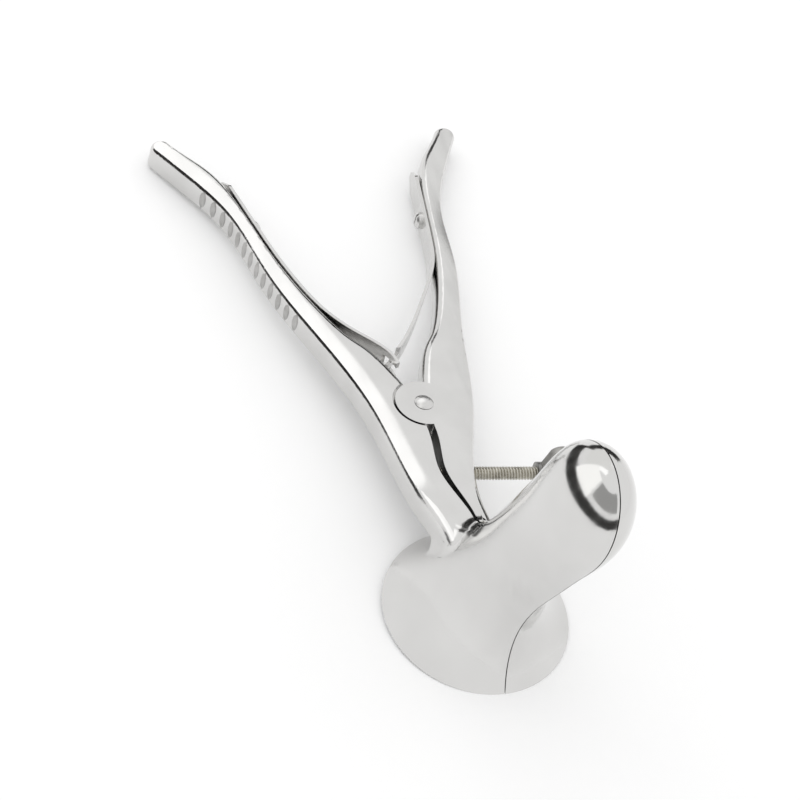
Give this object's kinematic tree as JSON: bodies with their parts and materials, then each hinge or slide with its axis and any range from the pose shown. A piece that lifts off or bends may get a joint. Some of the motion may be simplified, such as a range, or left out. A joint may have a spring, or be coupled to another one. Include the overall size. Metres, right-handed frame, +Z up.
{
  "type": "bivalve speculum",
  "caption": "Bivalve speculum with closed half-tube blades on a round flange, lap-jointed sprung handles with finger grooves, and a winged set screw.",
  "frame": {"origin": "middle of the overall box, on the plane the instrument rests on", "axes": "+Y runs towards the handle tips, +X to the right handle, +Z up; the pivot axis leans 4.5 degrees from +Z towards +Y"},
  "size_m": [0.0912, 0.199, 0.0914],
  "materials": {
    "lever_steel": "mirror-polished stainless steel",
    "blade_steel": "mirror-polished stainless steel",
    "screw_steel": "mirror-polished stainless steel",
    "spring_steel": "mirror-polished stainless steel",
    "thread_steel": "cut thread, satin",
    "wing_steel": "satin"
  },
  "bodies": {
    "left_lever": {"left_handle": "lever_steel", "left_blade": "blade_steel", "pivot_screw": "screw_steel", "left_leaf_spring": "spring_steel", "left_leaf_screw": "screw_steel"},
    "right_lever": {"right_handle": "lever_steel", "right_blade": "blade_steel", "right_leaf_spring": "spring_steel", "right_leaf_screw": "screw_steel"},
    "set_screw": {"set_screw_rod": "thread_steel"},
    "wing_head": {"set_screw_wing": "wing_steel"}
  },
  "joints": [
    {"name": "blade_spread", "type": "hinge", "parent": "left_lever", "child": "right_lever", "pos_m": [0, -0.00697, 0.01623], "axis": [0, 0.0781, 0.9969], "range_deg": [0, 30], "stiffness_Nm_per_rad": 0.6, "springref_deg": -8.59, "deforming": ["left_leaf_spring", "right_leaf_spring"]},
    {"name": "set_screw_advance", "type": "slide", "parent": "right_lever", "child": "set_screw", "axis": [-0.9936, 0.1129, -0.0088], "range_m": [0, 0.011]},
    {"name": "wing_turn", "type": "hinge", "parent": "set_screw", "child": "wing_head", "pos_m": [0.024, -0.03144, 0.01414], "axis": [-0.9936, 0.1129, -0.0088], "range_deg": [0, 4987]}
  ],
  "couplings": [
    {"joint": "set_screw_advance", "follows": "blade_spread", "m_per_rad": 0.021},
    {"joint": "wing_turn", "follows": "blade_spread", "ratio": 166.2}
  ]
}
